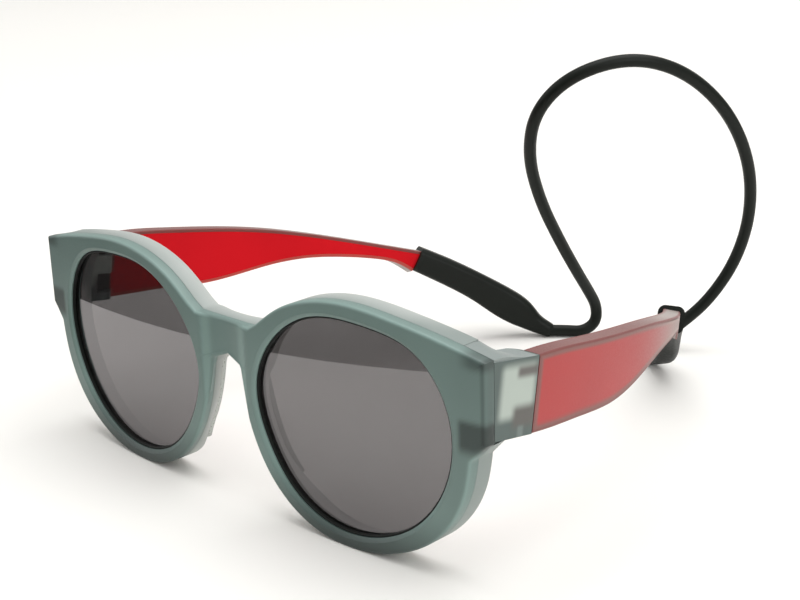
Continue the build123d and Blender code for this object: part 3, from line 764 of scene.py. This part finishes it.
def lens_grid():
    """Rings of a lens: front from the middle out, over the rim, then back in to the middle."""
    edge = opening_curve + (LENS_OVERLAP - BOND_GAP) * opening_out
    shares = np.linspace(0.002, 1, 26)
    rings = [placed_on_wrap(MIDDLE + t * (edge - MIDDLE), LENS_FRONT) for t in shares]
    rings += [placed_on_wrap(MIDDLE + t * (edge - MIDDLE), LENS_FRONT + LENS_THICKNESS)
              for t in shares[::-1]]
    return np.stack(rings)


def seal_grid():
    """Rings of a seal: a small bar with rounded corners on the wall of the opening."""
    depth = SEAL_SHOWN * SEAL_DEPTH
    wide, deep = rounded_rectangle(SEAL_WIDTH, depth, SEAL_CORNER, 16)
    plan = opening_curve[:, None] + (wide[..., None] - SEAL_WIDTH / 2) * opening_out[:, None]
    middle = BEVEL_DEPTH + SEAL_DEPTH - depth / 2
    return placed_on_wrap(plan, np.broadcast_to(middle + deep, plan.shape[:2]))


make_pair("lens_disc_{}", lens_grid(), lens_grey, "frame", "lens_{}")
make_pair("lens_line_{}", seal_grid(), seal_black, "frame", "lens_seal_{}", closed=True)

# %% [markdown]
# ## Nose strips, and the roof over the hinge boxes
#
# A clear strip stands behind each side of the nose: a small bar carried along the outline. And
# the pale layer runs on over each hinge box as a thin roof that falls from the top of the front
# to the top of the box.

# %% Nose strips and roofs
STRIP_WIDTH, STRIP_DEPTH, STRIP_CORNER, STRIP_INSET, NOSE_INSET = 0.9, 1.5, 0.25, 0.6, 1.6
ROOF_START, ROOF_RUN, ROOF_END = 3.0, 9.2, 12.4  # depths behind the face
BOX_TOP, ROOF_COLOR = 8.4, (0.255, 0.295, 0.285)  # top above the middle of the hinge


def strip_grid():
    """Rings of a nose strip: a rounded bar inside the outline, from its foot to the arch."""
    beside = (outline[:, 0] < 24) & (outline[:, 1] > 8.0) & (outline[:, 1] < 33.8)
    path, inward = outline[beside][::3], inward_normals(outline)[beside][::3]
    across, deep = rounded_rectangle(STRIP_WIDTH, STRIP_DEPTH, STRIP_CORNER, 16)
    nose = nose_side(path)[:, None]
    inset = NOSE_INSET * nose + STRIP_INSET + across
    plan = path[:, None] + inset[..., None] * inward[:, None]
    depth = REAR_END + BOND_GAP + STRIP_DEPTH / 2 + deep
    points = placed_on_wrap(plan, np.broadcast_to(depth, inset.shape))
    points[..., 1] -= NOSE_CUT * nose * (REAR_END - KEPT_END)
    return points


def roof_grid():
    """Rings of a roof, from the inner side to the outer: its top falls from the outline's top."""
    x = np.linspace(HOUSING_SIDE - 0.6, HALF_FRONT - 0.15, 12)[:, None]
    high = (outline[:, 0] > 55) & (outline[:, 1] > 45)
    top = np.interp(x, *outline[high][np.argsort(outline[high][:, 0])].T) - 0.12
    depth = ROOF_START + ROOF_RUN * np.linspace(0, 1, 9)[None, :] + 0 * x
    behind_hinge = wrapped(x, depth) - HINGE_BACK - BOX_TOP * math.sin(TEMPLE_TILT)
    box = (OPENING_MIDDLE + HINGE_RISE + BOX_TOP * math.cos(TEMPLE_TILT)
           - math.sin(TEMPLE_TILT) * behind_hinge)
    outward_share = (x - HOUSING_SIDE) / (HALF_FRONT - HOUSING_SIDE)
    fall = smooth_step(depth, 6.0 - 4.0 * outward_share, ROOF_END)
    upper = box + 0.02 + np.maximum(top - box - 0.02, 0) * (1 - fall)
    lower = np.minimum(box, upper - 0.03)
    plan = np.stack([x + 0 * np.hstack([depth, depth]), np.hstack([upper, lower[:, ::-1]])], -1)
    return placed_on_wrap(plan, np.hstack([depth, depth[:, ::-1]]))


make_pair("nose_strip_{}", strip_grid(), clear, "frame", "nose_flange_{}")
roof_points = roof_grid()
roof_tint = np.broadcast_to(ROOF_COLOR, roof_points.shape)
for roof in make_pair("box_roof_{}", roof_points, frosted_pale, "frame", tint=roof_tint):
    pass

# %% [markdown]
# ## Plastic pieces that keep their CAD shape
#
# The hinge boxes, the screws and the red cores are prismatic, so their CAD meshes are already
# right. They get their finish, and nothing else.

# %% Finishes on CAD nodes
for node, material in (("hinge_housing", housing), ("hinge_screw", steel),
                       ("temple_core", temple_red)):
    for side in ("left", "right"):
        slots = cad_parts[f"{node}_{side}"].data.materials
        slots.clear()
        slots.append(material)
    print(node, "in", material.name)

# %% [markdown]
# ## Temples
#
# Seen in its own plane, a temple has an upper and a lower edge, both smooth lines. Seen from
# above it runs straight, bends on a circle, and runs straight again.

# %% Outline and plan of a temple
TEMPLE_THICKNESS, TEMPLE_SKIN, TEMPLE_LIP = 4.4, 1.9, 0.9
TEMPLE_START, TEMPLE_REACH, TEMPLE_HALF_HEIGHT = 3.9, 100.0, 9.2
FIRST_HIGH, FIRST_LOW = 8.4, -8.1  # heights of the two edges at the front end
BEND_START, BEND_RADIUS, BEND_ANGLE = 8.0, 161.0, math.radians(33)
TEMPLE_UPPER = [
    (0.08, 0.960), (0.24, 1.0), (0.40, 0.990), (0.53, 0.935), (0.70, 0.750), (0.88, 0.480),
    (1.02, 0.270),
]
TEMPLE_LOWER = [
    (0.08, -0.860), (0.20, -0.770), (0.35, -0.670), (0.44, -0.470), (0.55, -0.150), (0.66, 0.055),
    (0.76, 0.092), (0.85, 0.050), (0.90, -0.060), (0.955, -0.400), (1.02, -0.800),
]


def temple_edge(shares, first_height):
    """Smooth line (u, w) through the points of an edge, from the front end back."""
    points = np.array(shares) * (TEMPLE_REACH, TEMPLE_HALF_HEIGHT)
    return smooth_curve(np.vstack([(TEMPLE_START, first_height), points]), 400)


BEND_END = BEND_START + BEND_RADIUS * BEND_ANGLE


def temple_plan(run, inset):
    """Plan (v, u) at a run along the outer face: straight, round a centre, straight."""
    radius = BEND_RADIUS - inset
    turn = np.clip((run - BEND_START) / BEND_RADIUS, 0, BEND_ANGLE)
    beyond = np.maximum(run - BEND_END, 0)
    v = HINGE_INSET - BEND_RADIUS + radius * np.cos(turn) - beyond * math.sin(BEND_ANGLE)
    u = np.minimum(run, BEND_START) + radius * np.sin(turn) + beyond * math.cos(BEND_ANGLE)
    return v, u


# %% [markdown]
# ## Sleeves
#
# A silicone sleeve is pulled over each temple tip and runs out into the strap. It is a rounded
# rectangle whose place, width and height change along a smooth line, so one table of stations
# describes it.

# %% Sleeves
SLEEVE_LENGTH, SLEEVE_DROP, SLEEVE_CURL = 43.2, 19.8, 3.8
SLEEVE_THICKNESS, SLEEVE_HEIGHT, SLEEVE_LIFT, SLEEVE_SETBACK = 7.2, 9.4, 0.9, 2.0
STRAP_DIAMETER, NECK_LENGTH, NECK_WALL = 3.4, 0.6, 0.175
# shares along, down, curled in, of the thickness and of the height
SLEEVE_SHARES = [
    (0.0, 0.0, 0.0, 0.97, 0.77), (0.23, 0.185, 0.0, 0.97, 0.83), (0.47, 0.41, 0.0, 1.0, 0.89),
    (0.67, 0.63, 0.06, 1.0, 0.98), (0.80, 0.775, 0.25, 0.94, 0.88), (0.90, 0.91, 0.55, 0.76, 0.60),
    (1.0, 1.0, 1.0, 0.597, 0.457),
]


def sleeve_grid():
    """Rings of a sleeve, with a short neck round the end of the strap, and its line's direction."""
    stations = []
    for along, drop, curl, width, height in SLEEVE_SHARES:
        run = BEND_END + SLEEVE_SETBACK + along * SLEEVE_LENGTH
        v, u = temple_plan(run, TEMPLE_THICKNESS / 2 + curl * SLEEVE_CURL)
        stations.append((v, u, SLEEVE_LIFT - drop * SLEEVE_DROP, width * SLEEVE_THICKNESS,
                         height * SLEEVE_HEIGHT))
    line = smooth_curve(stations, 90)
    last = (line[-1] - line[-2]) / np.linalg.norm((line[-1] - line[-2])[:3])
    neck = line[-1] + np.outer((NECK_LENGTH / 2, NECK_LENGTH), last)
    neck[:, 3:] = STRAP_DIAMETER + 2 * NECK_WALL
    line = np.vstack([line, neck])
    middle, width, height = line[:, :3], line[:, 3], line[:, 4]
    along = unit(np.gradient(middle, axis=0))
    out = unit(np.stack([along[:, 1], -along[:, 0], np.zeros(len(along))], -1))
    up = np.cross(out, along)
    corner = np.minimum(2.0, 0.46 * np.minimum(width, height))
    across, high = rounded_rectangle(width, height, corner)
    rings = middle[:, None] + across[..., None] * out[:, None] + high[..., None] * up[:, None]
    return on_table(stand_on_hinge(rings)), along


sleeve_points, sleeve_along = sleeve_grid()
make_pair("sleeve_{}", sleeve_points, silicone, "temple_{}", "strap_sleeve_{}", crease=60)

# %% [markdown]
# ## Frosted skins of the temples
#
# Each temple is a frosted tray round a red core. Its section, a channel with a lip above and
# below, is placed station by station along the temple, up to the front of the sleeve. The red
# core shows through the panel and not through the lip.

# %% Temple skins
# colours at the front and far back, then colours that stay the same
BORDER_COLORS = (0.22, 0.095, 0.085), (0.34, 0.23, 0.21)
PANEL_COLORS = (0.42, 0.042, 0.042), (0.30, 0.195, 0.18)
TOP_COLORS = (0.20, 0.075, 0.07), (0.34, 0.29, 0.27)
EDGE_COLOR = (0.20, 0.06, 0.055)
UPPER_HOLLOW, LOWER_HOLLOW = (0.19, 0.03, 0.025), (0.46, 0.045, 0.03)


def channel_section():
    """Section of the tray as rows (inset, offset, share, hollow).

    inset is the depth from the outer face. The height lies at a share of the way from the lower
    to the upper edge, plus an offset. The rows go from the middle of the outer face over the top
    and down inside, then the same below. hollow marks the rows inside.
    """
    turn, thick, lip = np.linspace(0, math.pi / 2, 4), TEMPLE_THICKNESS, TEMPLE_LIP
    rows = [(0.0, 0.0, 0.5 + t, 0) for t in np.linspace(0, 0.44, 12)] + [(0.0, -0.6, 1.0, 0)]
    rows += [(0.4 - 0.4 * math.cos(a), 0.4 * math.sin(a) - 0.4, 1.0, 0) for a in turn]
    rows += [(i, 0.0, 1.0, 0) for i in np.linspace(0.6, thick - 0.2, 5)]
    rows += [(thick, -0.2, 1.0, 0), (thick, -lip + 0.01, 1.0, 0), (thick - 0.01, -lip, 1.0, 1)]
    rows += [(i, -lip, 1.0, 1) for i in (thick - 1, TEMPLE_SKIN)]
    rows += [(TEMPLE_SKIN, -2 * lip * (t - 0.5), t, 1) for t in (0.9, 0.75, 0.6)]
    upper = np.array(rows)
    lower = upper[::-1] * (1, -1, -1, 1) + (0, 0, 1, 0)
    return np.vstack([upper, lower[:-1]])


def skin_grid():
    """Stations of the tray and their colours.

    The first two stations make a solid wall at its front. The last ones turn step by step into
    the front plane of the sleeve, which leans with the sleeve's line.
    """
    inset, offset, share, hollow = channel_section().T
    wall_end, turning = TEMPLE_START + TEMPLE_LIP, 82.0
    rows = np.r_[TEMPLE_START, wall_end, wall_end, np.linspace(5.6, turning, 115)][:, None]
    steps = np.linspace(0, 1, 31)[1:, None]
    solid = (np.arange(len(rows) + len(steps)) < 2)[:, None] & (hollow > 0)
    inset = np.where(solid, TEMPLE_THICKNESS - 0.01, inset)
    upper, lower = temple_edge(TEMPLE_UPPER, FIRST_HIGH), temple_edge(TEMPLE_LOWER, FIRST_LOW)
    lean = -sleeve_along[0, 2] / math.hypot(*sleeve_along[0, :2])
    ends = BEND_END + SLEEVE_SETBACK + 0 * share
    for _ in range(6):  # enough rounds to settle the end, which leans with the edges
        run = np.vstack([rows + 0 * share, turning + (ends - turning) * steps])
        v, u = temple_plan(run, inset)
        high, low = np.interp(u, *upper.T), np.interp(u, *lower.T)
        w = low + (high - low) * share + offset
        ends = BEND_END + SLEEVE_SETBACK - BOND_GAP + lean * (w[-1] - SLEEVE_LIFT)
    from_edge = np.minimum(np.minimum(high - w, (w - low) * 0.8), 1.1 * (u - TEMPLE_START))
    panel = smooth_step(from_edge, 0.9, 1.6) * (inset < 0.3)
    fade = smooth_step(u, 42.0, turning)
    color = mixed(panel, mixed(fade, *BORDER_COLORS), mixed(fade, *PANEL_COLORS))
    color = mixed(smooth_step(from_edge, 0.75, 0.25) * (inset < 0.45), color, EDGE_COLOR)
    inner = smooth_step(inset, 3.6, 4.3)
    color = mixed(inner, color, np.where((share > 0.5)[:, None], UPPER_HOLLOW, LOWER_HOLLOW))
    outer_top = smooth_step(inset, 0.35, 0.7) * (1 - inner) * (hollow < 1)
    color = mixed(outer_top, color, mixed(fade, *TOP_COLORS))
    return stand_on_hinge(np.stack([v, u, w], -1)), color


skin_points, skin_tint = skin_grid()
make_pair("temple_tray_{}", skin_points, temple_frost, "temple_{}", "temple_skin_{}",
          tint=skin_tint)

# %% [markdown]
# ## Strap
#
# The strap is one silicone cord, stiff enough to stand in the loop that it was moulded in. Its
# line is a smooth NURBS curve over the same points as in CAD, and the tube follows
# that line. It is made in two halves that meet at the back of the loop.

# %% Strap
STRAP_LEFT = [
    (18.38, 70.51, 1.92), (14.53, 73.71, 1.90), (13.7, 80.4, 3.6), (17.9, 86.8, 7.8),
    (24.0, 92.0, 15.5), (30.4, 95.0, 28.0), (35.6, 92.8, 43.5), (38.6, 85.2, 60.3),
    (38.4, 79.1, 68.15),
]
STRAP_RIGHT = [
    (-18.38, 70.51, 1.92), (-14.53, 73.71, 1.90), (-10.2, 76.2, 1.9), (-8.0, 79.8, 4.4),
    (-8.5, 80.6, 9.4), (-8.4, 76.2, 15.2), (-7.4, 68.6, 23.4), (-6.4, 58.8, 35.0),
    (-4.8, 47.8, 48.8), (-1.2, 37.8, 63.6), (5.6, 32.0, 77.2), (15.2, 34.4, 87.4),
    (25.8, 45.6, 91.8), (33.4, 59.4, 87.4), (38.2, 73.0, 76.0), (38.4, 79.1, 68.15),
]


def nurbs_line(route):
    """Points of Blender's own NURBS curve over a route, as an array in millimetres."""
    data = bpy.data.curves.new("strap_line", "CURVE")
    data.dimensions = "3D"
    data.resolution_u = 16
    spline = data.splines.new("NURBS")
    spline.points.add(len(route) - 1)
    for point, place in zip(spline.points, route):
        point.co = (*place, 1)
    spline.order_u = 3
    spline.use_endpoint_u = True
    holder = bpy.data.objects.new("strap_line", data)
    bpy.context.collection.objects.link(holder)
    mesh = bpy.data.meshes.new_from_object(holder)
    line = np.zeros(len(mesh.vertices) * 3)
    mesh.vertices.foreach_get("co", line)
    bpy.data.objects.remove(holder)
    bpy.data.meshes.remove(mesh)
    return line.reshape(-1, 3)


def round_tube(line, radius, count=24):
    """Circles square to a line.

    Their first axis is also square to the line's flattest direction, which it never follows.
    """
    flattest = np.linalg.svd(line - line.mean(0), full_matrices=False)[2][2]
    along = unit(np.gradient(line, axis=0))
    side = unit(np.cross(along, flattest))
    up = np.cross(side, along)
    turn = (np.arange(count) + 0.5) / count * 2 * math.pi
    circle = np.cos(turn)[:, None] * side[:, None] + np.sin(turn)[:, None] * up[:, None]
    return line[:, None] + radius * circle


def strap_piece(side, route):
    """Half of the strap: a tube on its route."""
    line = nurbs_line(route)
    points = round_tube(line, STRAP_DIAMETER / 2)
    piece = make_mesh(f"strap_{side}", points, tube_faces(*points.shape[:2], False), silicone,
                      "", [f"strap_cord_{side}"], crease=60)
    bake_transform(piece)


strap_piece("left", STRAP_LEFT)
strap_piece("right", STRAP_RIGHT)

# %% [markdown]
# ## Table
#
# The glasses stand on a sheet of white paper that turns up behind them.

# %% Table and backdrop
EDGE, AWAY = np.array([0.947, -0.322]), np.array([-0.6637, 0.6867])  # along and off its edge
EDGE_PASSES, SHEET_FLAT, SHEET_BEND, SHEET_HALF = (0, -163), 2000, 400, 1500


def paper():
    """White paper. It glows a little far off, as the back of a light tent does."""
    material = bpy.data.materials.new("white_paper")
    material.use_nodes = True
    tree = material.node_tree
    place = add_node(tree, "ShaderNodeTexCoord").outputs["Object"]
    distance = vector_node(tree, "DOT_PRODUCT", place, (*AWAY, 0.0), "Value")
    fill(tree, tree.nodes["Principled BSDF"], {
        "Base Color": (0.85, 0.84, 0.812), "Roughness": 0.7,
        "Emission Color": (1, 0.99, 0.965),
        "Emission Strength": ramp(tree, distance, 0.0, 1.1, 0.0, 0.30)})
    return material


def table_sheet():
    """A sheet: flat from its front edge, then a quarter circle up behind, along one direction.

    The front edge is the line that the lenses mirror in the photo, traced back to the table.
    """
    bend = np.linspace(0, math.pi / 2, 16)[1:]
    run = np.concatenate([np.linspace(0, SHEET_FLAT, 24), SHEET_FLAT + SHEET_BEND * np.sin(bend)])
    rise = np.concatenate([np.zeros(24), SHEET_BEND * (1 - np.cos(bend))])
    wide = np.linspace(-SHEET_HALF, SHEET_HALF, 9)
    points = np.zeros((len(run), len(wide), 3))
    points[..., :2] = EDGE_PASSES + wide[None, :, None] * EDGE + run[:, None, None] * AWAY
    points[..., 2] = rise[:, None]
    return points


sheet = table_sheet()
index = np.arange(sheet.size // 3).reshape(sheet.shape[:2])
quads = np.stack([index[:-1, :-1], index[:-1, 1:], index[1:, 1:], index[1:, :-1]], -1)
make_mesh("table_paper", sheet, quads.reshape(-1, 4), paper(), "")
